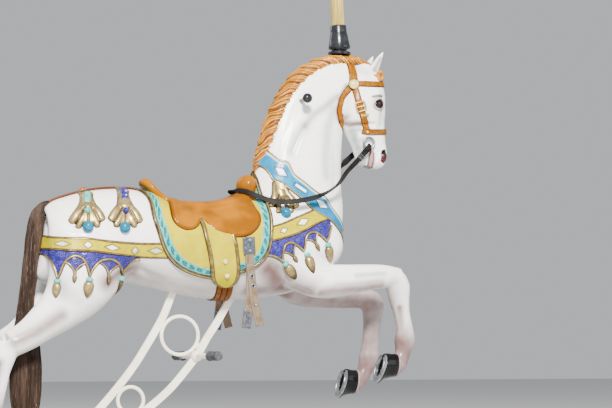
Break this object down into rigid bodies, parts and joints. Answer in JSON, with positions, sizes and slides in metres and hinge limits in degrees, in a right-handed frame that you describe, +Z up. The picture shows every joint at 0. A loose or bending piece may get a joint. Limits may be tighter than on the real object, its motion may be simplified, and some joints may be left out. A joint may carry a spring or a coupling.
{
  "type": "carousel horse",
  "caption": "Galloping carousel horse with saddle and bridle, fixed on a curved swing arm that is hinged at a floor bracket and lifted by a pole at the crest.",
  "frame": {"origin": "centre of the floor bracket's underside, below the arm's hinge", "axes": "+X towards the horse's head, +Y to the horse's left, +Z up"},
  "size_m": [1.8064, 0.552, 2.3888],
  "materials": {
    "bracket_steel": "satin dark grey paint",
    "arm_cream": "semi-gloss cream paint",
    "grip_rubber": "matt, finely ribbed",
    "body_enamel": "glossy white enamel with soft rose shading",
    "hoof_black": "glossy black paint",
    "shoe_metal": "silver",
    "mane_gold": "glossy orange and ochre, carved locks",
    "tail_hair": "dark brown hair",
    "saddle_tan": "glossy tan",
    "cloth_yellow": "glossy yellow with turquoise and gold edges",
    "band_yellow": "glossy yellow with gold edges",
    "collar_blue": "glossy blue with gold edges",
    "strap_brown": "glossy brown",
    "strap_grey": "worn grey-brown",
    "rein_black": "worn black",
    "boot_rubber": "glossy black",
    "pole_gold": "pale gold, finely fluted"
  },
  "bodies": {
    "base": {"floor_bracket": "bracket_steel", "hinge_pin": "bracket_steel"},
    "horse": {"arm_hub": "arm_cream", "arm_rear_bar": "arm_cream", "arm_front_bar": "arm_cream", "arm_ring_large": "arm_cream", "arm_ring_small": "arm_cream", "foot_peg_bar": "arm_cream", "foot_peg_grip_right": "grip_rubber", "foot_peg_grip_left": "grip_rubber", "torso": "body_enamel", "neck_and_head": "body_enamel", "right_foreleg": "body_enamel", "left_foreleg": "body_enamel", "right_hind_leg": "body_enamel", "left_hind_leg": "body_enamel", "right_fore_hoof": "hoof_black", "left_fore_hoof": "hoof_black", "right_hind_hoof": "hoof_black", "left_hind_hoof": "hoof_black", "right_fore_horseshoe": "shoe_metal", "left_fore_horseshoe": "shoe_metal", "right_hind_horseshoe": "shoe_metal", "left_hind_horseshoe": "shoe_metal", "mane": "mane_gold", "forelock": "mane_gold", "tail": "tail_hair", "hand_hold_bar": "boot_rubber", "saddle": "saddle_tan", "saddle_pommel": "saddle_tan", "saddle_cloth": "cloth_yellow", "girth_strap": "strap_brown", "crupper_strap": "strap_brown", "stirrup_strap_right": "strap_grey", "stirrup_strap_left": "strap_grey", "collar": "collar_blue", "rear_band_right": "band_yellow", "rear_band_left": "band_yellow", "front_band_right": "band_yellow", "front_band_left": "band_yellow", "bridle": "strap_brown", "bit": "shoe_metal", "reins": "rein_black", "boot_seat": "boot_rubber"},
    "pole": {"pole": "pole_gold", "pole_boot": "boot_rubber", "pole_top_eye": "bracket_steel"}
  },
  "joints": [
    {"name": "arm_swing", "type": "hinge", "parent": "base", "child": "horse", "pos_m": [0, 0, 0.092], "axis": [0, -1, 0], "range_deg": [-2, 5]},
    {"name": "pole_pivot", "type": "hinge", "parent": "horse", "child": "pole", "pos_m": [1.097, 0, 1.641], "axis": [0, 1, 0], "range_deg": [-7, 16]}
  ]
}
